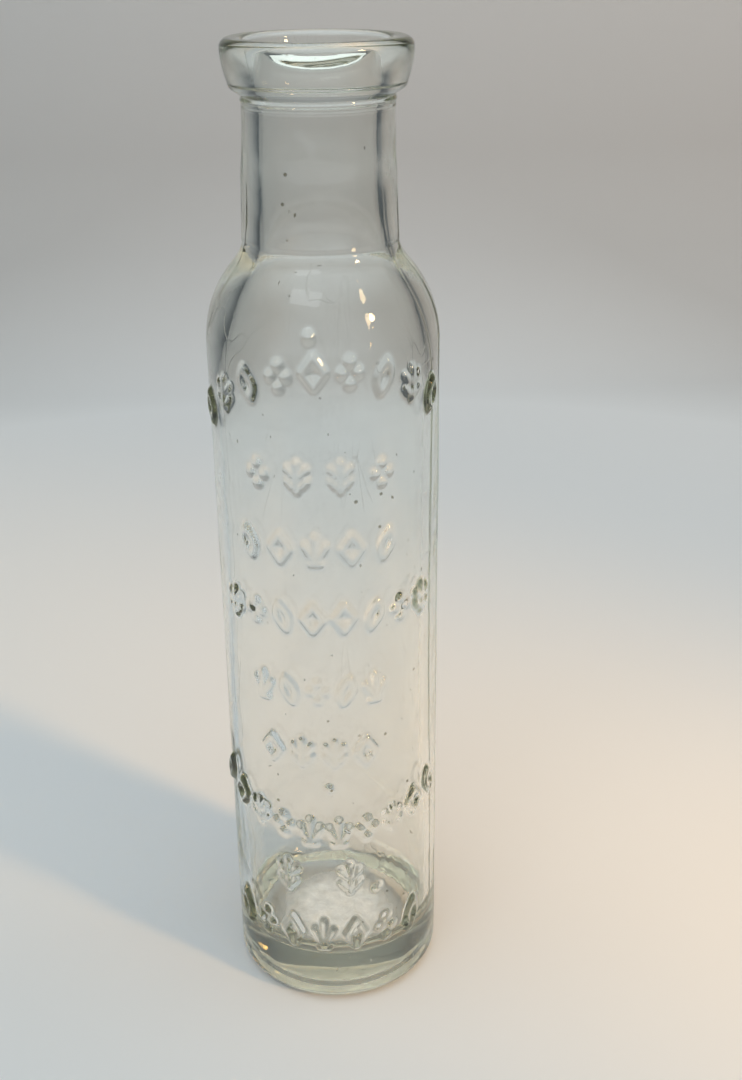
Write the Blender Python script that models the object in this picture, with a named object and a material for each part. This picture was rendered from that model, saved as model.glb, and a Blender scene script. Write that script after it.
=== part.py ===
"""Cylindrical glass medicine bottle with an open mouth and rows of raised ornament.

Metres, +Z up. The origin is the centre of the base, on the surface the bottle stands on,
and the ornament faces -Y. The bottle is one piece of blown glass, so it is one object:
a turned wall with a thick base, a domed shoulder, a straight neck and a tooled lip,
and low pads on the front of the body that are part of the same glass.
"""

import math

import bmesh
import bpy

MM = 0.001

# Driving dimensions, in millimetres.
HEIGHT = 114.3
BODY_RADIUS = 12.8
HEEL_RADIUS = 2.25
SHOULDER_START = 83.2
SHOULDER_RADIUS = 12.6
SHOULDER_SWEEP = 39.3
SHOULDER_FLAT = 1.13
NECK_FILLET = 3.95
NECK_TOP_RADIUS = 7.95

LIP_HEIGHT = 5.6
LIP_CORNER_RISE = 0.45
LIP_CORNER_RADIUS = 9.3
LIP_RADIUS = 9.94
LIP_CORNER_ROUND = 0.9
LIP_OUTER_ROUND = 0.95
LIP_INNER_ROUND = 0.8

BASE_THICKNESS = 5.4
INNER_RADIUS = 11.35
INNER_CORNER = 4.6
BORE_RADIUS = 6.1
MOUTH_RADIUS = 7.3
MOUTH_DEPTH = 7.5

# The inside of the shoulder, (radius, height), where the wall is thickest.
INNER_SHOULDER = (
    (INNER_RADIUS, 76.0),
    (11.15, 80.5),
    (10.5, 84.2),
    (9.6, 86.9),
    (8.6, 89.0),
    (7.45, 91.4),
    (6.65, 93.8),
    (6.25, 96.4),
    (BORE_RADIUS, 99.5),
)

RECESS_RADIUS = 7.5
RECESS_DEPTH = 0.6
RECESS_RAMP = 0.7

ORNAMENT_RELIEF = 0.45
ORNAMENT_ROOT = 0.4

MOUTH_STEPS = 6
LIP_SIDE_STEPS = 4
SEGMENTS = 56
SMOOTH_ANGLE = math.radians(32)
MERGE_DISTANCE = 1e-7

# Each row of ornament: the height of its middle, how far its ends drop below that (or rise,
# where negative) at END_ANGLE, the angles of its first and last pad, the pads across it,
# and the height of a pad. Angles are from the front, positive towards +X.
END_ANGLE = 72.0
ROWS = (
    {"height": 83.0, "drop": 6.2, "first": -72, "last": 62, "pads": 9, "tall": 3.7},
    {"height": 71.5, "drop": 0.0, "first": -35, "last": 27, "pads": 4, "tall": 3.7},
    {"height": 63.1, "drop": 0.0, "first": -42, "last": 29, "pads": 5, "tall": 3.7},
    {"height": 54.8, "drop": 0.0, "first": -55, "last": 53, "pads": 8, "tall": 3.7},
    {"height": 45.5, "drop": 0.0, "first": -37, "last": 22, "pads": 5, "tall": 3.7},
    {"height": 37.3, "drop": 0.0, "first": -33, "last": 17, "pads": 4, "tall": 3.7},
    {"height": 26.2, "drop": -3.6, "first": -74, "last": 62, "pads": 10, "tall": 3.7},
    {"height": 19.4, "drop": 0.0, "first": -27, "last": 7, "pads": 2, "tall": 4.4},
    {"height": 11.0, "drop": 0.0, "first": -61, "last": 45, "pads": 7, "tall": 4.6},
)
PAD_WIDTH = 2.7
OVAL_POINTS = 6


def clear_scene():
    for item in list(bpy.data.objects):
        bpy.data.objects.remove(item, do_unlink=True)


def arc(centre, radius, start, end, steps):
    """Points (radius, height) on an arc, from start to end degrees, both ends included."""
    points = []
    for step in range(steps + 1):
        angle = math.radians(start + (end - start) * step / steps)
        points.append((centre[0] + radius * math.cos(angle), centre[1] + radius * math.sin(angle)))
    return points


def shoulder():
    """The outside's convex dome, a straight slope, and a hollow arc up into the neck."""
    rise = math.radians(SHOULDER_SWEEP)
    convex = arc((BODY_RADIUS - SHOULDER_RADIUS, SHOULDER_START), SHOULDER_RADIUS, 0, SHOULDER_SWEEP, 8)
    slope_r = convex[-1][0] - SHOULDER_FLAT * math.sin(rise)
    slope_z = convex[-1][1] + SHOULDER_FLAT * math.cos(rise)
    centre = (slope_r + NECK_FILLET * math.cos(rise), slope_z + NECK_FILLET * math.sin(rise))
    return convex + arc(centre, NECK_FILLET, 180 + SHOULDER_SWEEP, 180, 5)


def outer_profile():
    """The outside from the middle of the base to the inner edge of the lip's flat top."""
    lip_base = HEIGHT - LIP_HEIGHT
    points = [(0, RECESS_DEPTH), (RECESS_RADIUS - RECESS_RAMP, RECESS_DEPTH), (RECESS_RADIUS, 0)]
    points += arc((BODY_RADIUS - HEEL_RADIUS, HEEL_RADIUS), HEEL_RADIUS, -90, 0, 6)
    points += shoulder()
    points.append((NECK_TOP_RADIUS, lip_base))
    corner = (LIP_CORNER_RADIUS - LIP_CORNER_ROUND, lip_base + LIP_CORNER_RISE + LIP_CORNER_ROUND)
    points += arc(corner, LIP_CORNER_ROUND, -60, 0, 3)
    crest = HEIGHT - LIP_OUTER_ROUND
    for step in range(1, LIP_SIDE_STEPS):
        share = step / LIP_SIDE_STEPS
        radius = LIP_RADIUS - (LIP_RADIUS - LIP_CORNER_RADIUS) * (1 - share) ** 2
        points.append((radius, corner[1] + (crest - corner[1]) * share))
    points += arc((LIP_RADIUS - LIP_OUTER_ROUND, crest), LIP_OUTER_ROUND, 0, 90, 6)
    return points


def smooth(stations):
    """The stations with a point between each two, on a curve that runs smoothly through them."""
    ends = [stations[0]] + list(stations) + [stations[-1]]
    points = [stations[0]]
    for before, start, end, after in zip(ends, ends[1:], ends[2:], ends[3:]):
        between = tuple((9 * (b + c) - a - d) / 16 for a, b, c, d in zip(before, start, end, after))
        points += [between, end]
    return points


def mouth():
    """The flare of the mouth, steeper towards the top, down to the foot of the lip."""
    top = HEIGHT - LIP_INNER_ROUND
    foot = HEIGHT - MOUTH_DEPTH
    points = []
    for step in range(1, MOUTH_STEPS + 1):
        share = step / MOUTH_STEPS
        radius = BORE_RADIUS + (MOUTH_RADIUS - BORE_RADIUS) * (1 - share) ** 2
        points.append((radius, top + (foot - top) * share))
    return points


def inner_profile():
    """The inside from the inner edge of the lip's flat top down to the middle of the floor."""
    rounding = (MOUTH_RADIUS + LIP_INNER_ROUND, HEIGHT - LIP_INNER_ROUND)
    points = arc(rounding, LIP_INNER_ROUND, 90, 180, 4)
    points += mouth()
    points += reversed(smooth(INNER_SHOULDER))
    corner = (INNER_RADIUS - INNER_CORNER, BASE_THICKNESS + INNER_CORNER)
    points += arc(corner, INNER_CORNER, 0, -90, 7)
    points.append((0, BASE_THICKNESS))
    return points


def turn(profile):
    """One closed mesh from a profile of (radius, height) that starts and ends on the axis."""
    mesh = bmesh.new()
    verts = [mesh.verts.new((r * MM, 0, z * MM)) for r, z in profile]
    edges = [mesh.edges.new(pair) for pair in zip(verts, verts[1:])]
    bmesh.ops.spin(
        mesh,
        geom=verts + edges,
        axis=(0, 0, 1),
        cent=(0, 0, 0),
        angle=2 * math.pi,
        steps=SEGMENTS,
    )
    bmesh.ops.remove_doubles(mesh, verts=mesh.verts, dist=MERGE_DISTANCE)
    bmesh.ops.recalc_face_normals(mesh, faces=mesh.faces)
    return mesh


def wall_radius(height):
    """The outside radius of the body and of the shoulder's dome at a height."""
    over = max(0.0, height - SHOULDER_START)
    return BODY_RADIUS - SHOULDER_RADIUS + math.sqrt(SHOULDER_RADIUS**2 - over**2)


def on_wall(angle, height, lift):
    """A point that stands lift proud of the wall, angle degrees round from the front."""
    radius = (wall_radius(height) + lift) * MM
    turned = math.radians(angle)
    return (radius * math.sin(turned), -radius * math.cos(turned), height * MM)


def pad_outline(kind, wide, tall):
    """The corners of a pad (across, up) about its middle: a lozenge or an oval."""
    if kind == "lozenge":
        return [(wide / 2, 0), (0, tall / 2), (-wide / 2, 0), (0, -tall / 2)]
    turns = [2 * math.pi * step / OVAL_POINTS for step in range(OVAL_POINTS)]
    return [(wide / 2 * math.cos(turn_by), tall / 2 * math.sin(turn_by)) for turn_by in turns]


def add_pad(mesh, kind, angle, height, tall):
    """A low pad rooted in the wall, with a crowned top that follows the wall's curve."""
    degrees_per_mm = math.degrees(1 / BODY_RADIUS)
    rings = []
    for lift in (-ORNAMENT_ROOT, ORNAMENT_RELIEF):
        outline = pad_outline(kind, PAD_WIDTH, tall)
        spots = [on_wall(angle + x * degrees_per_mm, height + y, lift) for x, y in outline]
        ring = [mesh.verts.new(spot) for spot in spots]
        rings.append((ring, mesh.verts.new(on_wall(angle, height, lift))))
    (low, low_middle), (high, high_middle) = rings
    for index, corner in enumerate(low):
        after = (index + 1) % len(low)
        mesh.faces.new((corner, low[after], high[after]))
        mesh.faces.new((corner, high[after], high[index]))
        mesh.faces.new((high[index], high[after], high_middle))
        mesh.faces.new((low[after], corner, low_middle))


def ornament_mesh():
    """All the pads of the front, row by row, lozenges and ovals in turn."""
    mesh = bmesh.new()
    for row in ROWS:
        for index in range(row["pads"]):
            share = index / (row["pads"] - 1)
            angle = row["first"] + (row["last"] - row["first"]) * share
            height = row["height"] - row["drop"] * (angle / END_ANGLE) ** 2
            kind = "lozenge" if index % 2 == 0 else "oval"
            add_pad(mesh, kind, angle, height, row["tall"])
    bmesh.ops.recalc_face_normals(mesh, faces=mesh.faces)
    return mesh


def add_object(name, mesh):
    data = bpy.data.meshes.new(name)
    mesh.to_mesh(data)
    mesh.free()
    item = bpy.data.objects.new(name, data)
    bpy.context.scene.collection.objects.link(item)
    return item


def clear_glass():
    """Clear glass with a faint grey-green cast."""
    material = bpy.data.materials.new("clear_glass")
    material.use_nodes = True
    shader = material.node_tree.nodes["Principled BSDF"]
    shader.inputs["Base Color"].default_value = (0.88, 0.92, 0.9, 1)
    shader.inputs["Roughness"].default_value = 0.04
    shader.inputs["Metallic"].default_value = 0
    shader.inputs["IOR"].default_value = 1.52
    shader.inputs["Transmission Weight"].default_value = 1
    return material


def build_bottle():
    bottle = add_object("glass_bottle", turn(outer_profile() + inner_profile()))
    bottle.data.materials.append(clear_glass())
    pads = add_object("ornament_pads", ornament_mesh())
    pads.hide_render = True
    pads.display_type = "WIRE"
    raised = bottle.modifiers.new("raised ornament", "BOOLEAN")
    raised.operation = "UNION"
    raised.solver = "EXACT"
    raised.object = pads
    bottle.data.shade_smooth()
    bottle.data.set_sharp_from_angle(angle=SMOOTH_ANGLE)


clear_scene()
build_bottle()
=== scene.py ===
"""The looks of a clear glass medicine bottle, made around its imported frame.

Metres, +Z up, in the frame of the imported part: the bottle stands on z = 0 with its axis on Z,
and its ornament faces -Y. The bottle is one piece of glass, so it is one mesh: an outer wall
with raised ornament, seams and tooling marks, an uneven inner wall, and seed bubbles in between.
"""

import math

import bpy
import numpy as np
from mathutils import Matrix, Vector


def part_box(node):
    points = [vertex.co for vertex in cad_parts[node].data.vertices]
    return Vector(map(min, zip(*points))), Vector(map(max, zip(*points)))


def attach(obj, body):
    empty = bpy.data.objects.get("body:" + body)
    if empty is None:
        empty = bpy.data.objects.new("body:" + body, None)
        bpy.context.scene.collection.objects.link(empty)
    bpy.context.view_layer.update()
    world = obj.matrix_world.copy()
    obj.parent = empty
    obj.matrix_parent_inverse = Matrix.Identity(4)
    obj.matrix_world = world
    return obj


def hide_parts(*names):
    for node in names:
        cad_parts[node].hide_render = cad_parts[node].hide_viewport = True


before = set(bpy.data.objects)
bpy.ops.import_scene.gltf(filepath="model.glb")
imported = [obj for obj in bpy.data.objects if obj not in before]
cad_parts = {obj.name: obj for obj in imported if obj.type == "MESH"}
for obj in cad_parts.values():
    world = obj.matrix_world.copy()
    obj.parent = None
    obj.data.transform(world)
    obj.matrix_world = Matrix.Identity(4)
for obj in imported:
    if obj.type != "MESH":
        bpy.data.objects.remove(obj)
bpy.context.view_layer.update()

# ---------------------------------------------------------------- sizes

# Every size below is in millimetres of a bottle DRAWN_HEIGHT tall, and MM turns it into metres
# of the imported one.
DRAWN_HEIGHT = 114.3
BOTTLE_LOW, BOTTLE_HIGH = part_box("glass_bottle")
MM = (BOTTLE_HIGH.z - BOTTLE_LOW.z) / DRAWN_HEIGHT

# The outside.
BODY_RADIUS = 12.8
HEEL_RADIUS = 2.25
SHOULDER_START = 83.2
SHOULDER_RADIUS = 12.6
SHOULDER_SWEEP = 39.3
SHOULDER_FLAT = 1.13
NECK_FILLET = 3.95
NECK_TOP_RADIUS = 7.95
RECESS_RADIUS = 7.5
RECESS_DEPTH = 0.6
RECESS_RAMP = 0.7

LIP_BASE = 108.7
LIP_CORNER_HEIGHT = 109.15
LIP_CORNER_RADIUS = 9.3
LIP_CORNER_ROUND = 0.9
LIP_RADIUS = 9.94
LIP_OUTER_ROUND = 0.95
LIP_INNER_ROUND = 0.8
LIP_OFFSET = 0.13

# The inside. INNER_SHOULDER is (radius, height), where the wall is thickest.
BASE_THICKNESS = 5.4
INNER_RADIUS = 11.35
INNER_CORNER = 4.6
BORE_RADIUS = 6.1
MOUTH_RADIUS = 7.3
MOUTH_DEPTH = 7.5
INNER_SHOULDER = (
    (INNER_RADIUS, 76.0),
    (11.15, 80.5),
    (10.5, 84.2),
    (9.6, 86.9),
    (8.6, 89.0),
    (7.45, 91.4),
    (6.65, 93.8),
    (6.25, 96.4),
    (BORE_RADIUS, 99.5),
)

# How far the inside leans to the side, (height, offset), from the floor up to the neck.
BORE_LEAN = (
    (0.0, 0.0),
    (12.0, 0.0),
    (22.0, -0.25),
    (34.0, -0.4),
    (46.0, -0.4),
    (58.0, -0.3),
    (68.0, -0.15),
    (78.0, 0.0),
    (84.0, 0.1),
    (88.0, 0.15),
    (92.0, 0.1),
    (96.0, 0.05),
    (100.0, 0.0),
)

# The neck is NECK_STEP wider from NECK_STEP_FOOT to NECK_STEP_HEIGHT, and drawn in above that,
# where the lip was tooled. Fine rings run round it under the lip: (height, relief, half width).
NECK_STEP = 0.1
NECK_STEP_FOOT = 94
NECK_STEP_HEIGHT = 102.0
NECK_RING_FOOT = 106.4
NECK_RINGS = ((108.3, 0.14, 0.2), (107.6, 0.05, 0.14))

# The mould seams: (angle from the front in degrees, relief).
SEAMS = ((79, 0.09), (-101, 0.09))
SEAM_HALF_WIDTH = 0.22
SEAM_WANDER = 0.012
SEAM_WANDER_LENGTH = 7
SEAM_TOP = 101

# The mesh: columns round the bottle, how far they crowd to the front, and the distances from
# ring to ring.
COLUMNS = 284
FRONT_CROWDING = 0.58
FLAT_STEP = 0.9
HEEL_STEP = 0.2
BODY_STEP = 0.27
ROUND_STEP = 0.3
NECK_ROW_STEP = 0.4
RING_STEP = 0.08
LIP_STEP = 0.15
LIP_CORNER_STEP = 0.12
CREST_STEP = 0.25
BORE_STEP = 0.6
INNER_SHOULDER_STEP = 0.4
INNER_CORNER_STEP = 0.25

# Distances from ring to ring as shares of the stretch that they divide.
RAMP_SHARE = 0.2
MOUTH_SHARE = 0.06
LIP_SIDE_SHARE = 0.06

# ---------------------------------------------------------------- turned profiles


def line_points(start, end, step):
    """Points (radius, height) from start, which is left out, to end."""
    across, up = end[0] - start[0], end[1] - start[1]
    count = max(1, round(math.hypot(across, up) / step))
    shares = [index / count for index in range(1, count + 1)]
    return [(start[0] + across * share, start[1] + up * share) for share in shares]


def shares_of_one(step):
    """Even shares above 0 and up to 1, about step apart."""
    return [share for _, share in line_points((0, 0), (0, 1), step)]


def arc_points(centre, radius, start, end, step):
    """Points (radius, height) on an arc from start to end degrees, both ends included."""
    count = max(3, round(abs(math.radians(end - start)) * radius / step))
    angles = [math.radians(start + (end - start) * index / count) for index in range(count + 1)]
    return [(centre[0] + radius * math.cos(a), centre[1] + radius * math.sin(a)) for a in angles]


def smooth_points(stations, step):
    """Points on a Catmull-Rom curve through the stations, both ends included."""
    ends = [stations[0]] + list(stations) + [stations[-1]]
    points = [stations[0]]
    for corners in zip(ends, ends[1:], ends[2:], ends[3:]):
        count = max(1, round(math.dist(corners[1], corners[2]) / step))
        for index in range(1, count + 1):
            t = index / count
            shares = (
                -t + 2 * t**2 - t**3,
                2 - 5 * t**2 + 3 * t**3,
                t + 4 * t**2 - 3 * t**3,
                t**3 - t**2,
            )
            radius = sum(share * corner[0] for share, corner in zip(shares, corners)) / 2
            height = sum(share * corner[1] for share, corner in zip(shares, corners)) / 2
            points.append((radius, height))
    return points


def shoulder_points():
    """The outside's dome, a straight slope, and the hollow arc that leads up into the neck."""
    rise = math.radians(SHOULDER_SWEEP)
    middle = (BODY_RADIUS - SHOULDER_RADIUS, SHOULDER_START)
    dome = arc_points(middle, SHOULDER_RADIUS, 0, SHOULDER_SWEEP, ROUND_STEP)
    foot = dome[-1]
    top = (foot[0] - SHOULDER_FLAT * math.sin(rise), foot[1] + SHOULDER_FLAT * math.cos(rise))
    hollow = (top[0] + NECK_FILLET * math.cos(rise), top[1] + NECK_FILLET * math.sin(rise))
    points = dome + line_points(foot, top, ROUND_STEP)
    return points + arc_points(hollow, NECK_FILLET, 180 + SHOULDER_SWEEP, 180, ROUND_STEP)[1:]


def outer_profile():
    """The outside, from the first ring of the base to the crest of the lip."""
    inner_edge = RECESS_RADIUS - RECESS_RAMP
    points = line_points((0, RECESS_DEPTH), (inner_edge, RECESS_DEPTH), FLAT_STEP)
    for share in shares_of_one(RAMP_SHARE):
        drop = RECESS_DEPTH * (0.5 + 0.5 * math.cos(math.pi * share))
        points.append((inner_edge + RECESS_RAMP * share, drop))
    heel = (BODY_RADIUS - HEEL_RADIUS, HEEL_RADIUS)
    points += line_points(points[-1], (heel[0], 0), FLAT_STEP)
    points += arc_points(heel, HEEL_RADIUS, -90, 0, HEEL_STEP)[1:]
    points += line_points(points[-1], (BODY_RADIUS, SHOULDER_START), BODY_STEP)
    points += shoulder_points()[1:]
    points += line_points(points[-1], (NECK_TOP_RADIUS, NECK_RING_FOOT), NECK_ROW_STEP)
    points += line_points(points[-1], (NECK_TOP_RADIUS, LIP_BASE), RING_STEP)

    corner = (LIP_CORNER_RADIUS - LIP_CORNER_ROUND, LIP_CORNER_HEIGHT + LIP_CORNER_ROUND)
    edge = arc_points(corner, LIP_CORNER_ROUND, -60, 0, LIP_CORNER_STEP)
    points += line_points(points[-1], edge[0], LIP_STEP)
    points += edge[1:]
    crest = (LIP_RADIUS - LIP_OUTER_ROUND, DRAWN_HEIGHT - LIP_OUTER_ROUND)
    for share in shares_of_one(LIP_SIDE_SHARE):
        radius = LIP_RADIUS - (LIP_RADIUS - LIP_CORNER_RADIUS) * (1 - share) ** 2
        points.append((radius, corner[1] + (crest[1] - corner[1]) * share))
    points += arc_points(crest, LIP_OUTER_ROUND, 0, 90, LIP_STEP)[1:]
    return points


def inner_profile():
    """The inside, from the lip's crest down to the last ring of the floor."""
    crest = (LIP_RADIUS - LIP_OUTER_ROUND, DRAWN_HEIGHT)
    rounding = (MOUTH_RADIUS + LIP_INNER_ROUND, DRAWN_HEIGHT - LIP_INNER_ROUND)
    points = line_points(crest, (rounding[0], DRAWN_HEIGHT), CREST_STEP)
    points += arc_points(rounding, LIP_INNER_ROUND, 90, 180, LIP_STEP)[1:]
    foot = DRAWN_HEIGHT - MOUTH_DEPTH
    for share in shares_of_one(MOUTH_SHARE):
        height = rounding[1] + (foot - rounding[1]) * share
        points.append((BORE_RADIUS + (MOUTH_RADIUS - BORE_RADIUS) * (1 - share) ** 2, height))
    shoulder = smooth_points(INNER_SHOULDER, INNER_SHOULDER_STEP)
    shoulder.reverse()
    points += line_points(points[-1], shoulder[0], BORE_STEP)
    points += shoulder[1:]
    corner = (INNER_RADIUS - INNER_CORNER, BASE_THICKNESS + INNER_CORNER)
    points += line_points(points[-1], (INNER_RADIUS, corner[1]), FLAT_STEP)
    points += arc_points(corner, INNER_CORNER, 0, -90, INNER_CORNER_STEP)[1:]
    points += line_points(points[-1], (0, BASE_THICKNESS), FLAT_STEP)[:-1]
    return points


# ---------------------------------------------------------------- unevenness of the glass

# Each is (seed, waves, size of one wave, most crests round the bottle, longest wavelength along
# the bottle, shortest).
OUTER_SWELL = (3, 14, 0.035, 5, 60, 14)
OUTER_PEEL = (5, 26, 0.006, 26, 9, 3)
OUTER_DRAW_LINES = (7, 30, 0.0035, 90, 400, 90)
LIP_WOBBLE = (13, 10, 0.04, 4, 60, 30)
CREST_SWAY = (17, 8, 0.05, 4, 900, 400)
INNER_SLOW = (23, 12, 0.06, 3, 90, 30)
INNER_QUICK = (29, 24, 0.012, 9, 18, 5)
FLOOR_DISH = (31, 10, 0.16, 3, 900, 400)


def smoothstep(value):
    value = np.clip(value, 0, 1)
    return value * value * (3 - 2 * value)


def ripples(angles, heights, kind):
    """A smooth random height over the grid: the sum of waves that close round the bottle."""
    seed, waves, size, around, longest, shortest = kind
    draw = np.random.RandomState(seed)
    crests = draw.randint(0, around + 1, waves)
    lengths = longest * (shortest / longest) ** draw.rand(waves)
    signs = draw.choice([-1, 1], waves)
    phases = draw.rand(waves) * 2 * math.pi
    sizes = size * (0.4 + 0.6 * draw.rand(waves))
    total = np.zeros((len(heights), len(angles)))
    for crest, length, sign, phase, wave in zip(crests, lengths, signs, phases, sizes):
        along = sign * 2 * math.pi * heights[:, None] / length
        total += wave * np.sin(crest * angles[None, :] + along + phase)
    return total / math.sqrt(waves)


def crest_sway(angles, heights):
    """How far the crest of the lip rises and falls round the bottle."""
    crown = smoothstep((heights - 111) / 3)
    return ripples(angles, heights, CREST_SWAY) * crown[:, None]


def seam(angles, heights, angle, relief):
    """A mould seam: a fine ridge up the body and the neck."""
    wander = SEAM_WANDER * np.sin(heights[:, None] / SEAM_WANDER_LENGTH)
    offset = (angles[None, :] - math.radians(angle) + wander) * BODY_RADIUS
    ridge = np.exp(-((offset / SEAM_HALF_WIDTH) ** 2))
    fade = smoothstep((heights - 1.5) / 2) * smoothstep((SEAM_TOP - heights) / 4)
    return relief * ridge * fade[:, None]


def lip_shift(heights):
    """How far the tooled lip sits to the side of the body's axis."""
    return LIP_OFFSET * smoothstep((heights - 100) / 9)


def bore_lean(heights):
    """How far the inside sits to the side, since the glass was blown unevenly."""
    stations = np.array(BORE_LEAN)
    return np.interp(heights, stations[:, 0], stations[:, 1])


# ---------------------------------------------------------------- raised ornament

RELIEF = 0.48
WEAR_SEED = 11
LEAST_RELIEF = 0.8
RELIEF_SPREAD = 0.3
STROKE_HALF_WIDTH = 0.8
STROKE_CROWN = 1.1
STROKE_INSET = 0.3
BEAD_WIDTH = 1.25
MOTIF_WIDTH = 2.9

# Each motif is a list of strokes in a box from -1 to 1 both ways: lines of points, and beads,
# which are single points.


def sprig():
    """A stem with two pairs of leaves."""
    strokes = [[(0, -1), (0, 1)]]
    for foot in (-0.75, 0.1):
        for side in (-1, 1):
            strokes.append([(0, foot), (0.45 * side, foot + 0.12), (0.85 * side, foot + 0.5)])
    return strokes


def shell():
    """Three ribs that spread from a short bar."""
    strokes = [[(-0.4, -1), (0.4, -1)]]
    for degrees in (15, 90, 165):
        turn = math.radians(degrees)
        strokes.append([(0, -0.95), (math.cos(turn), 0.1 + 0.85 * math.sin(turn))])
    return strokes


def leaf(lean):
    """The outline of a pointed leaf that leans to one side."""
    side = [(0.62 * math.sin(math.pi * t), -1 + 2 * t) for t in np.linspace(0, 1, 9)]
    strokes = [side, [(-x, y) for x, y in side]]
    return [[(x + lean * 0.35 * y, y) for x, y in stroke] for stroke in strokes]


MOTIFS = {
    "lozenge": [[(0, 1), (0.95, 0), (0, -1), (-0.95, 0), (0, 1)]],
    "sprig": sprig(),
    "quatrefoil": [[(0.7, 0)], [(0, 0.72)], [(-0.7, 0)], [(0, -0.72)]],
    "shell": shell(),
    "left_leaf": leaf(-1),
    "right_leaf": leaf(1),
    "bead": [[(0, 0)]],
}

# Each row: the height of its middle, how far its ends drop at END_ANGLE, the angles of the first
# and last motif, the height of a motif, and the motifs from left to right.
END_ANGLE = 72.0
ROWS = (
    (83.0, 6.2, -72, 62, 3.7,
     "left_leaf sprig left_leaf quatrefoil lozenge quatrefoil right_leaf sprig right_leaf"),
    (71.5, 0.0, -35, 27, 3.7, "quatrefoil sprig sprig quatrefoil"),
    (63.1, 0.0, -42, 29, 3.7, "left_leaf lozenge shell lozenge right_leaf"),
    (54.8, 0.0, -55, 53, 3.7,
     "sprig quatrefoil left_leaf lozenge lozenge right_leaf quatrefoil sprig"),
    (45.5, 0.0, -37, 22, 3.7, "shell left_leaf quatrefoil right_leaf shell"),
    (37.3, 0.0, -33, 17, 3.7, "lozenge sprig sprig lozenge"),
    (26.2, -3.6, -74, 62, 3.7,
     "right_leaf lozenge sprig quatrefoil shell shell quatrefoil sprig lozenge left_leaf"),
    (19.4, 0.0, -27, 7, 4.4, "sprig sprig"),
    (11.0, 0.0, -61, 45, 4.6,
     "left_leaf quatrefoil lozenge shell lozenge quatrefoil right_leaf"),
)

# Beads on their own, (angle, height), and the height of the box that each is drawn in.
SINGLE_BEADS = ((-7, 86.6), (22, 17.4), (-3, 32.4))
SINGLE_BEAD_BOX = 3.0


def stroke_distance(across, up, stroke):
    """The distance of each point from a line of points, or from a single point."""
    if len(stroke) == 1:
        return np.hypot(across - stroke[0][0], up - stroke[0][1])
    best = np.full(across.shape, np.inf)
    for (x0, y0), (x1, y1) in zip(stroke, stroke[1:]):
        dx, dy = x1 - x0, y1 - y0
        share = np.clip(((across - x0) * dx + (up - y0) * dy) / (dx * dx + dy * dy), 0, 1)
        best = np.minimum(best, np.hypot(across - x0 - share * dx, up - y0 - share * dy))
    return best


def motif_height(name, across, up, tall):
    """The relief of one motif at points given in millimetres from its middle."""
    height = np.zeros(across.shape)
    half_width, half_height = MOTIF_WIDTH / 2 - STROKE_INSET, tall / 2 - STROKE_INSET
    for stroke in MOTIFS[name]:
        spots = [(x * half_width, y * half_height) for x, y in stroke]
        width = STROKE_HALF_WIDTH * (BEAD_WIDTH if len(spots) == 1 else 1)
        near = smoothstep(STROKE_CROWN * (1 - stroke_distance(across, up, spots) / width))
        height = np.maximum(height, near)
    return height


def motif_places():
    """(name, angle in degrees, height, size) of each motif, in the order of the rows."""
    places = []
    for middle, drop, first, last, tall, names in ROWS:
        names = names.split()
        for index, name in enumerate(names):
            angle = first + (last - first) * index / (len(names) - 1)
            places.append((name, angle, middle - drop * (angle / END_ANGLE) ** 2, tall))
    places += [("bead", angle, height, SINGLE_BEAD_BOX) for angle, height in SINGLE_BEADS]
    return places


def ornament(angles, heights):
    """The relief over the grid of ring heights and column angles."""
    relief = np.zeros((len(heights), len(angles)))
    wear = np.random.RandomState(WEAR_SEED)
    for name, angle, middle, tall in motif_places():
        strength = LEAST_RELIEF + RELIEF_SPREAD * wear.rand()
        across = (angles - math.radians(angle)) * BODY_RADIUS
        columns = np.abs(across) < MOTIF_WIDTH
        rows = np.abs(heights - middle) < tall
        up, over = np.meshgrid(heights[rows] - middle, across[columns], indexing="ij")
        patch = motif_height(name, over, up, tall) * strength
        relief[np.ix_(rows, columns)] = np.maximum(relief[np.ix_(rows, columns)], patch)
    return relief * RELIEF


# ---------------------------------------------------------------- the bottle's mesh


def column_angles():
    """Angles round the bottle from the front, crowded together where the ornament is."""
    even = np.arange(COLUMNS) / COLUMNS * 2 * math.pi - math.pi
    return even - FRONT_CROWDING * np.sin(even)


def outer_rings(angles):
    """The outside's grid of radii and heights, with all that stands proud of the turning."""
    profile = np.array(outer_profile())
    radii, heights = profile[:, 0], profile[:, 1]
    below_lip = (heights < LIP_BASE) & (radii > NECK_TOP_RADIUS - 0.1)
    on_wall = (heights > HEEL_RADIUS) & below_lip
    on_body = on_wall & (heights < SHOULDER_START + 5)

    proud = ripples(angles, heights, OUTER_SWELL)
    proud += ripples(angles, heights, OUTER_PEEL)
    proud += ripples(angles, heights, OUTER_DRAW_LINES)
    for angle, relief in SEAMS:
        proud += seam(angles, heights, angle, relief)
    proud *= (on_wall * smoothstep((heights - HEEL_RADIUS) / 3))[:, None]
    grid_radii = radii[:, None] + proud + ornament(angles, heights) * on_body[:, None]

    wider = NECK_STEP * smoothstep((NECK_STEP_HEIGHT + 1.5 - heights) / 3)
    marks = wider * (heights > NECK_STEP_FOOT)
    for middle, relief, half_width in NECK_RINGS:
        marks = marks + relief * np.exp(-(((heights - middle) / half_width) ** 2))
    grid_radii += (marks * on_wall)[:, None]

    lip = smoothstep((heights - LIP_BASE) / 0.8)
    grid_radii += ripples(angles, heights, LIP_WOBBLE) * lip[:, None]
    return grid_radii, heights[:, None] + crest_sway(angles, heights)


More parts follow.
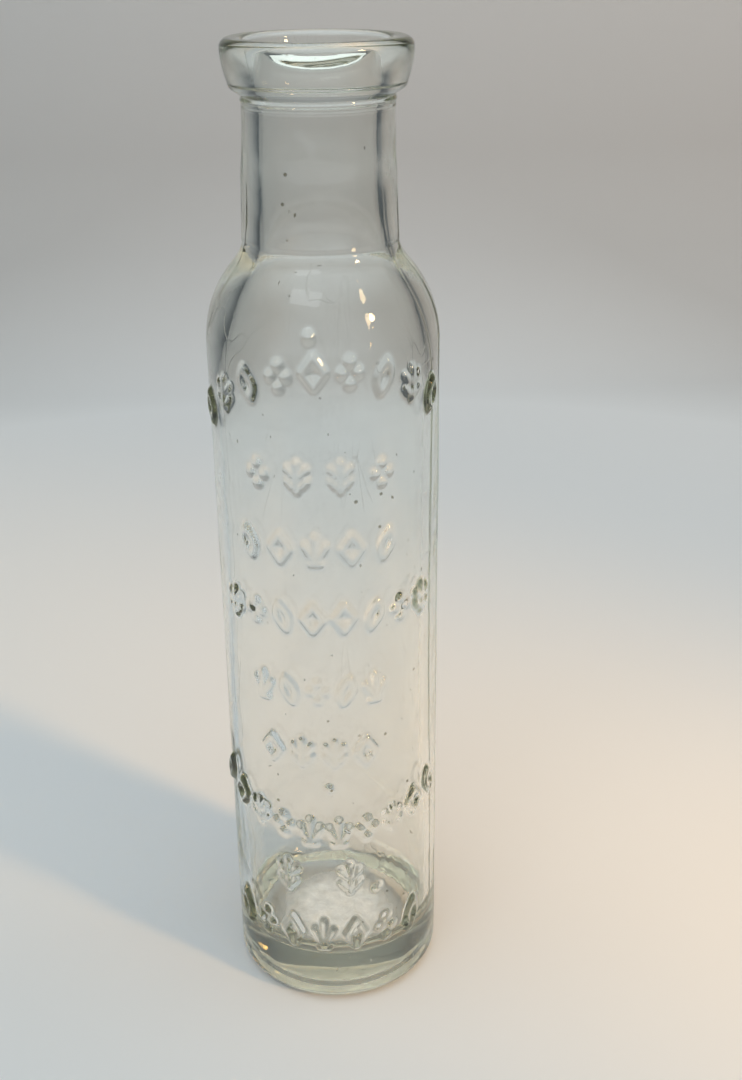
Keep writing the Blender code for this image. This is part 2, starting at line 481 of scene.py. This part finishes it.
def inner_rings(angles):
    """The inside's grid of radii and heights: it is less even than the outside."""
    profile = np.array(inner_profile())
    radii, heights = profile[:, 0], profile[:, 1]
    uneven = ripples(angles, heights, INNER_SLOW) + ripples(angles, heights, INNER_QUICK)
    on_wall = smoothstep((heights - BASE_THICKNESS) / 4) * smoothstep((110 - heights) / 8)
    grid_radii = radii[:, None] + uneven * on_wall[:, None]
    on_floor = smoothstep((BASE_THICKNESS + INNER_CORNER - heights) / INNER_CORNER)
    dish = ripples(angles, heights, FLOOR_DISH) * (radii / INNER_RADIUS * on_floor)[:, None]
    return grid_radii, heights[:, None] + crest_sway(angles, heights) + dish


def bottle_vertices(angles):
    outer_radii, outer_heights = outer_rings(angles)
    inner_radii, inner_heights = inner_rings(angles)
    radii = np.vstack([outer_radii, inner_radii])
    heights = np.vstack([outer_heights, inner_heights])
    x = radii * np.sin(angles)[None, :] + lip_shift(heights)
    x[len(outer_radii):] += bore_lean(inner_heights)
    y = -radii * np.cos(angles)[None, :]
    rings = np.stack([x, y, heights], axis=-1).reshape(-1, 3)
    base_middle = [[0, 0, RECESS_DEPTH]]
    floor_middle = [[0, 0, BASE_THICKNESS]]
    return np.vstack([base_middle, rings, floor_middle]), len(radii)


def bottle_faces(rings):
    """Quads between neighbouring rings, and a fan of triangles at each end, all facing out."""
    first = 1
    here = np.arange(COLUMNS)
    pairs = list(zip(here, (here + 1) % COLUMNS))
    faces = [(0, first + b, first + a) for a, b in pairs]
    for ring in range(rings - 1):
        low = first + ring * COLUMNS
        high = low + COLUMNS
        faces += [(low + a, low + b, high + b, high + a) for a, b in pairs]
    last = first + (rings - 1) * COLUMNS
    middle = last + COLUMNS
    faces += [(last + a, last + b, middle) for a, b in pairs]
    return faces


BUBBLES = 70
BUBBLE_SEED = 41
BUBBLE_RINGS = 5
BUBBLE_COLUMNS = 8
BUBBLE_LEAST = 0.05
BUBBLE_SPREAD = 0.09

# One bubble in BASE_SHARE is in the base, and the others are in the wall of the body.
BASE_SHARE = 4
BASE_BUBBLE_REACH = 10
BASE_BUBBLE_LOW = 1.6
WALL_BUBBLE_LOW = 14
WALL_BUBBLE_RISE = 66


def seed_bubble(centre, size, stretch):
    """A small egg-shaped bubble in the wall. Its faces look into it, away from the glass."""
    vertices = [(centre[0], centre[1], centre[2] - size * stretch)]
    for ring in range(1, BUBBLE_RINGS):
        tilt = math.pi * ring / BUBBLE_RINGS
        for column in range(BUBBLE_COLUMNS):
            turn = 2 * math.pi * column / BUBBLE_COLUMNS
            x = centre[0] + size * math.sin(tilt) * math.cos(turn)
            y = centre[1] + size * math.sin(tilt) * math.sin(turn)
            vertices.append((x, y, centre[2] - size * stretch * math.cos(tilt)))
    vertices.append((centre[0], centre[1], centre[2] + size * stretch))
    faces = []
    for column in range(BUBBLE_COLUMNS):
        after = (column + 1) % BUBBLE_COLUMNS
        faces.append((0, 1 + column, 1 + after))
        for ring in range(BUBBLE_RINGS - 2):
            low = 1 + ring * BUBBLE_COLUMNS
            high = low + BUBBLE_COLUMNS
            faces.append((low + after, low + column, high + column, high + after))
        low = 1 + (BUBBLE_RINGS - 2) * BUBBLE_COLUMNS
        faces.append((low + after, low + column, len(vertices) - 1))
    return vertices, faces


def seed_bubbles():
    """Bubbles scattered through the wall and the base, as one list of vertices and faces."""
    draw = np.random.RandomState(BUBBLE_SEED)
    vertices, faces = [], []
    for index in range(BUBBLES):
        angle = draw.rand() * 2 * math.pi
        if index % BASE_SHARE == 0:
            height = BASE_BUBBLE_LOW + draw.rand() * (BASE_THICKNESS - 2 * BASE_BUBBLE_LOW)
            radius = draw.rand() * BASE_BUBBLE_REACH
        else:
            height = WALL_BUBBLE_LOW + draw.rand() * WALL_BUBBLE_RISE
            radius = (BODY_RADIUS + INNER_RADIUS) / 2
        size = BUBBLE_LEAST + BUBBLE_SPREAD * draw.rand() ** 2
        centre = (radius * math.sin(angle), -radius * math.cos(angle), height)
        bubble, sides = seed_bubble(centre, size, 1 + draw.rand())
        faces += [tuple(corner + len(vertices) for corner in side) for side in sides]
        vertices += bubble
    return vertices, faces


def add_mesh(name, vertices, faces):
    data = bpy.data.meshes.new(name)
    data.from_pydata(vertices, [], faces)
    data.update()
    data.shade_smooth()
    item = bpy.data.objects.new(name, data)
    bpy.context.scene.collection.objects.link(item)
    return item


def build_bottle():
    wall, rings = bottle_vertices(column_angles())
    faces = bottle_faces(rings)
    bubbles, bubble_faces = seed_bubbles()
    faces += [tuple(corner + len(wall) for corner in face) for face in bubble_faces]
    return add_mesh("bottle_glass", (np.vstack([wall, bubbles]) * MM).tolist(), faces)


# ---------------------------------------------------------------- materials


class Nodes:
    """Short calls for adding and linking the nodes of one material."""

    def __init__(self, name):
        self.material = bpy.data.materials.new(name)
        self.material.use_nodes = True
        self.tree = self.material.node_tree
        self.tree.nodes.clear()
        self.place = self.add("ShaderNodeTexCoord").outputs["Object"]

    def add(self, kind, **settings):
        """A node; each setting is one of its properties, or the value of one of its inputs."""
        node = self.tree.nodes.new(kind)
        for key, value in settings.items():
            if hasattr(node, key):
                setattr(node, key, value)
            else:
                node.inputs[key].default_value = value
        return node

    def link(self, source, target):
        self.tree.links.new(source, target)

    def math(self, operation, left, right):
        node = self.add("ShaderNodeMath", operation=operation)
        for socket, value in zip(node.inputs, (left, right)):
            if isinstance(value, (int, float)):
                socket.default_value = value
            else:
                self.link(value, socket)
        return node.outputs[0]

    def ramp(self, source, low, high, from_value=0.0, to_value=1.0):
        """source between low and high becomes from_value to to_value, held beyond."""
        node = self.add("ShaderNodeMapRange", clamp=True)
        self.link(source, node.inputs["Value"])
        node.inputs["From Min"].default_value = low
        node.inputs["From Max"].default_value = high
        node.inputs["To Min"].default_value = from_value
        node.inputs["To Max"].default_value = to_value
        return node.outputs["Result"]

    def noise(self, scale, detail, roughness=0.5, vector=None, output="Fac"):
        """A noise texture; scale is in crests to the metre."""
        node = self.add("ShaderNodeTexNoise", Scale=scale, Detail=detail, Roughness=roughness)
        self.link(self.place if vector is None else vector, node.inputs["Vector"])
        return node.outputs[output]

    def length(self, vector):
        node = self.add("ShaderNodeVectorMath", operation="LENGTH")
        self.link(vector, node.inputs[0])
        return node.outputs["Value"]

    def finish(self, shader):
        output = self.add("ShaderNodeOutputMaterial")
        self.link(shader.outputs["BSDF"], output.inputs["Surface"])
        return output


GLASS_TINT = (0.985, 0.99, 0.985, 1)
DIRT_TINT = (0.16, 0.14, 0.09, 1)
GLASS_ROUGHNESS = 0.008
FILM_ROUGHNESS = 0.05
SCRATCH_ROUGHNESS = 0.3
SCRATCH_DIRT = 0.3
FILM_VEIL = 0.05
FINE_WAVES = 0.35

# The colour that thick glass takes, and how fast, to the metre.
CAST_COLOUR = (0.61, 0.62, 0.40, 1)
CAST_DENSITY = 38.0

# A whitish film on the inner floor, painted light that stands in for the light the base gathers,
# with a painted glow: how much of the light it stops, the share of that where it is thin, how
# brightly it glows, its reach from the axis, and the heights between which it starts and ends.
PAINTED_FLOOR_LIGHT = 0.75
PAINTED_FLOOR_LIGHT_THIN = 0.6
PAINTED_FLOOR_GLOW = 0.5
PAINTED_FLOOR_GLOW_COLOUR = (1.0, 0.95, 0.85, 1)
PAINTED_FLOOR_LIGHT_INNER = 4.2
PAINTED_FLOOR_LIGHT_OUTER = 9.2
PAINTED_FLOOR_LIGHT_LOW = (BASE_THICKNESS - 1.5, BASE_THICKNESS - 1.0)
PAINTED_FLOOR_LIGHT_HIGH = (BASE_THICKNESS + 1.5, BASE_THICKNESS + 2.5)


def scratch_lines(nodes):
    """Thin, slightly bent scratches that run mostly up the bottle, in worn patches."""
    stretch = nodes.add("ShaderNodeMapping", Scale=(1.0, 1.0, 0.16), Rotation=(0.3, 0.2, 0.0))
    nodes.link(nodes.place, stretch.inputs["Vector"])
    wave = nodes.noise(60.0, 3.0, vector=stretch.outputs["Vector"], output="Color")
    bend = nodes.add("ShaderNodeVectorMath", operation="MULTIPLY_ADD")
    bend.inputs[1].default_value = (0.02, 0.02, 0.02)
    nodes.link(wave, bend.inputs[0])
    nodes.link(stretch.outputs["Vector"], bend.inputs[2])
    cells = nodes.add("ShaderNodeTexVoronoi", feature="DISTANCE_TO_EDGE", Scale=210.0)
    nodes.link(bend.outputs["Vector"], cells.inputs["Vector"])
    line = nodes.ramp(cells.outputs["Distance"], 0.0, 0.012, 1.0, 0.0)
    worn = nodes.ramp(nodes.noise(70.0, 2.0), 0.58, 0.68)
    return nodes.math("MULTIPLY", line, worn)


def speck_dots(nodes):
    """Small dark specks, in about one cell in five."""
    cells = nodes.add("ShaderNodeTexVoronoi", Scale=330.0)
    nodes.link(nodes.place, cells.inputs["Vector"])
    dot = nodes.ramp(cells.outputs["Distance"], 0.05, 0.09, 1.0, 0.0)
    pick = nodes.add("ShaderNodeSeparateColor")
    nodes.link(cells.outputs["Color"], pick.inputs["Color"])
    return nodes.math("MULTIPLY", dot, nodes.ramp(pick.outputs["Red"], 0.80, 0.82))


def painted_floor_light_mask(nodes):
    """The mask of the painted light on the inner floor: how much light its pale film stops,
    which also sets its painted glow.
    """
    split = nodes.add("ShaderNodeSeparateXYZ")
    nodes.link(nodes.place, split.inputs["Vector"])
    flat = nodes.add("ShaderNodeCombineXYZ")
    nodes.link(split.outputs["X"], flat.inputs["X"])
    nodes.link(split.outputs["Y"], flat.inputs["Y"])
    reach, height = nodes.length(flat.outputs["Vector"]), split.outputs["Z"]
    inward = nodes.ramp(reach, PAINTED_FLOOR_LIGHT_INNER * MM, PAINTED_FLOOR_LIGHT_OUTER * MM, 1.0, 0.0)
    above = nodes.ramp(height, PAINTED_FLOOR_LIGHT_LOW[0] * MM, PAINTED_FLOOR_LIGHT_LOW[1] * MM)
    below = nodes.ramp(height, PAINTED_FLOOR_LIGHT_HIGH[0] * MM, PAINTED_FLOOR_LIGHT_HIGH[1] * MM, 1.0, 0.0)
    floor_patch = nodes.math("MULTIPLY", nodes.math("MULTIPLY", inward, above), below)
    mottle_noise = nodes.noise(700.0, 5.0, 0.7)
    mottle = nodes.ramp(mottle_noise, 0.3, 0.7, PAINTED_FLOOR_LIGHT_THIN * PAINTED_FLOOR_LIGHT, PAINTED_FLOOR_LIGHT)
    return nodes.math("MULTIPLY", floor_patch, mottle)


def glass_material():
    """Clear glass with a faint olive cast, light haze, scratches, specks, and a whitish film
    with a painted glow inside, standing in for light the base gathers.
    """
    nodes = Nodes("clear_glass")
    film = nodes.ramp(nodes.noise(90.0, 6.0, 0.6), 0.48, 0.75)
    scratches = scratch_lines(nodes)
    floor_light_mask = painted_floor_light_mask(nodes)
    shader = nodes.add("ShaderNodeBsdfPrincipled", IOR=1.52)

    rough_film = nodes.math("MULTIPLY", film, FILM_ROUGHNESS)
    rough_lines = nodes.math("MULTIPLY", scratches, SCRATCH_ROUGHNESS)
    rough = nodes.math("ADD", nodes.math("ADD", rough_film, rough_lines), GLASS_ROUGHNESS)
    nodes.link(rough, shader.inputs["Roughness"])

    tint = nodes.add("ShaderNodeMix", data_type="RGBA")
    tint.inputs[6].default_value = GLASS_TINT
    tint.inputs[7].default_value = DIRT_TINT
    dirty_lines = nodes.math("MULTIPLY", scratches, SCRATCH_DIRT)
    nodes.link(nodes.math("MAXIMUM", speck_dots(nodes), dirty_lines), tint.inputs["Factor"])
    nodes.link(tint.outputs[2], shader.inputs["Base Color"])

    fine = nodes.math("MULTIPLY", nodes.noise(420.0, 3.0), FINE_WAVES)
    bump = nodes.add("ShaderNodeBump", Strength=0.5, Distance=0.00002)
    nodes.link(nodes.math("SUBTRACT", fine, scratches), bump.inputs["Height"])
    nodes.link(bump.outputs["Normal"], shader.inputs["Normal"])

    # The pale film on the inner floor and its glow are painted light, standing in for light
    # gathered through the base.
    veil = nodes.math("ADD", floor_light_mask, nodes.math("MULTIPLY", film, FILM_VEIL))
    nodes.link(nodes.math("SUBTRACT", 1.0, veil), shader.inputs["Transmission Weight"])
    shader.inputs["Emission Color"].default_value = PAINTED_FLOOR_GLOW_COLOUR
    painted_glow = nodes.math("MULTIPLY", floor_light_mask, PAINTED_FLOOR_GLOW)
    nodes.link(painted_glow, shader.inputs["Emission Strength"])

    cast = nodes.add("ShaderNodeVolumeAbsorption", Color=CAST_COLOUR, Density=CAST_DENSITY)
    nodes.link(cast.outputs["Volume"], nodes.finish(shader).inputs["Volume"])
    return nodes.material


# The tones of the paper, and where each takes over from the one before: by distance from the
# bottle, by height on the backdrop, and by distance again. The two backdrop tones are painted
# shade.
PAPER_TONE = (0.82, 0.82, 0.82, 1)
# The next two tones are painted shade on the backdrop, where less light falls.
BACKDROP_PAINTED_SHADE = (0.53, 0.515, 0.50, 1)
HIGH_BACKDROP_PAINTED_SHADE = (0.65, 0.635, 0.62, 1)
DARK_TONE = (0.13, 0.14, 0.15, 1)
BACKDROP_SHADE_REACH = (225.0, 298.0)
BACKDROP_SHADE_RISE = (30.0, 110.0)
DARK_REACH = (335.0, 520.0)


def paper_material():
    """Pale paper with painted shade: greyer where it curves up into the backdrop and higher on
    it, and dark far from the bottle.
    """
    nodes = Nodes("pale_paper")
    reach = nodes.length(nodes.place)
    split = nodes.add("ShaderNodeSeparateXYZ")
    nodes.link(nodes.place, split.inputs["Vector"])
    tone = None
    # The first two tones here are painted shade on the backdrop.
    for colour, source, (low, high) in (
        (BACKDROP_PAINTED_SHADE, reach, BACKDROP_SHADE_REACH),
        (HIGH_BACKDROP_PAINTED_SHADE, split.outputs["Z"], BACKDROP_SHADE_RISE),
        (DARK_TONE, reach, DARK_REACH),
    ):
        mix = nodes.add("ShaderNodeMix", data_type="RGBA")
        mix.inputs[6].default_value = PAPER_TONE
        if tone is not None:
            nodes.link(tone, mix.inputs[6])
        mix.inputs[7].default_value = colour
        nodes.link(nodes.ramp(source, low * MM, high * MM), mix.inputs["Factor"])
        tone = mix.outputs[2]
    bump = nodes.add("ShaderNodeBump", Strength=0.15, Distance=0.00005)
    nodes.link(nodes.noise(900.0, 3.0), bump.inputs["Height"])
    shader = nodes.add("ShaderNodeBsdfPrincipled", Roughness=0.85)
    nodes.link(tone, shader.inputs["Base Color"])
    nodes.link(bump.outputs["Normal"], shader.inputs["Normal"])
    nodes.finish(shader)
    return nodes.material


# ---------------------------------------------------------------- setting

SWEEP_BACK = 290.0
SWEEP_RADIUS = 60.0
SWEEP_STEP = 3.0
SWEEP_HEIGHT = 900.0
SWEEP_HALF_WIDTH = 1500.0
SWEEP_FRONT = -1500.0
FLOOR_GAP = 0.01


def build_sweep():
    """A pale floor that curves up into a backdrop behind the bottle."""
    middle = (SWEEP_BACK - SWEEP_RADIUS, SWEEP_RADIUS)
    curve = arc_points(middle, SWEEP_RADIUS, -90, 0, SWEEP_STEP)
    side = [(SWEEP_FRONT, 0.0)] + curve + [(SWEEP_BACK, SWEEP_HEIGHT)]
    vertices = []
    for x in (-SWEEP_HALF_WIDTH, SWEEP_HALF_WIDTH):
        vertices += [(x * MM, y * MM, (z - FLOOR_GAP) * MM) for y, z in side]
    count = len(side)
    faces = [(a, count + a, count + a + 1, a + 1) for a in range(count - 1)]
    sweep = add_mesh("sweep", vertices, faces)
    sweep.data.materials.append(paper_material())


def add_light(name, data, place, target, power, colour):
    """A light at place that faces target, both in the bottle's millimetres; power in watts."""
    data.energy = power
    data.color = colour
    light = bpy.data.objects.new(name, data)
    light.location = Vector(place) * MM
    direction = Vector(target) * MM - light.location
    light.rotation_euler = direction.to_track_quat("-Z", "Y").to_euler()
    bpy.context.scene.collection.objects.link(light)


def add_panel(name, place, target, size, power, colour):
    data = bpy.data.lights.new(name, "AREA")
    data.shape = "RECTANGLE"
    data.size = size[0] * MM
    data.size_y = size[1] * MM
    add_light(name, data, place, target, power, colour)


def add_spot(name, place, target, radius, angle, power, colour):
    """A round lamp with a soft-edged cone; angle is the whole cone's, in degrees."""
    data = bpy.data.lights.new(name, "SPOT")
    data.shadow_soft_size = radius * MM
    data.spot_size = math.radians(angle)
    data.spot_blend = 1.0
    add_light(name, data, place, target, power, colour)


# The room's walls, its bright front and its ceiling, and the sines of the angles between which
# the walls fade into each: towards the front, and up.
ROOM_WALL = (0.20, 0.22, 0.225, 1)
ROOM_FRONT = (0.60, 0.66, 0.70, 1)
ROOM_CEILING = (1.22, 1.36, 1.40, 1)
FRONT_FADE = (-0.35, -0.9)
CEILING_FADE = (0.45, 1.0)


def build_room():
    """A soft grey room, brighter in front and overhead."""
    world = bpy.data.worlds.new("room")
    bpy.context.scene.world = world
    world.use_nodes = True
    tree = world.node_tree
    direction = tree.nodes.new("ShaderNodeTexCoord").outputs["Generated"]
    split = tree.nodes.new("ShaderNodeSeparateXYZ")
    tree.links.new(direction, split.inputs["Vector"])
    tone = None
    for colour, axis, (start, full) in (
        (ROOM_FRONT, "Y", FRONT_FADE),
        (ROOM_CEILING, "Z", CEILING_FADE),
    ):
        fade = tree.nodes.new("ShaderNodeMapRange")
        fade.interpolation_type = "SMOOTHSTEP"
        fade.inputs["From Min"].default_value = start
        fade.inputs["From Max"].default_value = full
        tree.links.new(split.outputs[axis], fade.inputs["Value"])
        mix = tree.nodes.new("ShaderNodeMix")
        mix.data_type = "RGBA"
        mix.inputs[6].default_value = ROOM_WALL
        if tone is not None:
            tree.links.new(tone, mix.inputs[6])
        mix.inputs[7].default_value = colour
        tree.links.new(fade.outputs["Result"], mix.inputs["Factor"])
        tone = mix.outputs[2]
    tree.links.new(tone, tree.nodes["Background"].inputs["Color"])


LAMP_PLACE = (500, -364, 245)
LAMP_RADIUS = 42
BULB_PLACE = (452, -322, 350)
BULB_RADIUS = 40
PANEL_PLACE = (-250, -530, 830)
PANEL_SIZE = (460, 240)


def build_lights():
    """A warm lamp on the right with its spill and its bulb, and a cool window above the left."""
    build_room()
    add_spot("lamp", LAMP_PLACE, (72, 0, 0), LAMP_RADIUS, 15.5, 17.5, (1.0, 0.57, 0.18))
    add_spot("spill", LAMP_PLACE, (190, 200, 60), LAMP_RADIUS, 44, 3.8, (1.0, 0.6, 0.3))
    add_spot("bulb", BULB_PLACE, (0, 0, 92), BULB_RADIUS, 16, 2.8, (1.0, 0.72, 0.4))
    add_panel("panel", PANEL_PLACE, (0, 60, 0), PANEL_SIZE, 0.6, (0.92, 0.97, 1.0))


# The camera looks down on the bottle from close by, so the body seems to narrow to the base.
CAMERA_DISTANCE = 146.3
CAMERA_HEIGHT = 124.97
CAMERA_PITCH = 24.455
CAMERA_YAW = 1.956
CAMERA_ROLL = -0.689
CAMERA_LENS = 45.58


def build_camera():
    data = bpy.data.cameras.new("camera")
    data.lens = CAMERA_LENS
    data.sensor_width = 36.0
    data.clip_start = 0.005
    data.clip_end = 20.0
    camera = bpy.data.objects.new("camera", data)
    turn = Matrix.Rotation(-math.radians(CAMERA_YAW), 4, "Z")
    tip = Matrix.Rotation(math.radians(90 - CAMERA_PITCH), 4, "X")
    roll = Matrix.Rotation(math.radians(CAMERA_ROLL), 4, "Z")
    place = Matrix.Translation(Vector((0, -CAMERA_DISTANCE, CAMERA_HEIGHT)) * MM)
    camera.matrix_world = place @ turn @ tip @ roll
    bpy.context.scene.collection.objects.link(camera)
    bpy.context.scene.camera = camera


# Light takes many turns inside a thick glass wall before it leaves.
GLASS_BOUNCES = 40

build_camera()
build_lights()
build_sweep()
bottle = build_bottle()
bottle.data.materials.append(glass_material())
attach(bottle, "root")
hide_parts("glass_bottle")
bpy.context.scene.view_settings.view_transform = "Standard"
bpy.context.scene.cycles.max_bounces = GLASS_BOUNCES
bpy.context.scene.cycles.transmission_bounces = GLASS_BOUNCES
bpy.context.scene.cycles.glossy_bounces = GLASS_BOUNCES
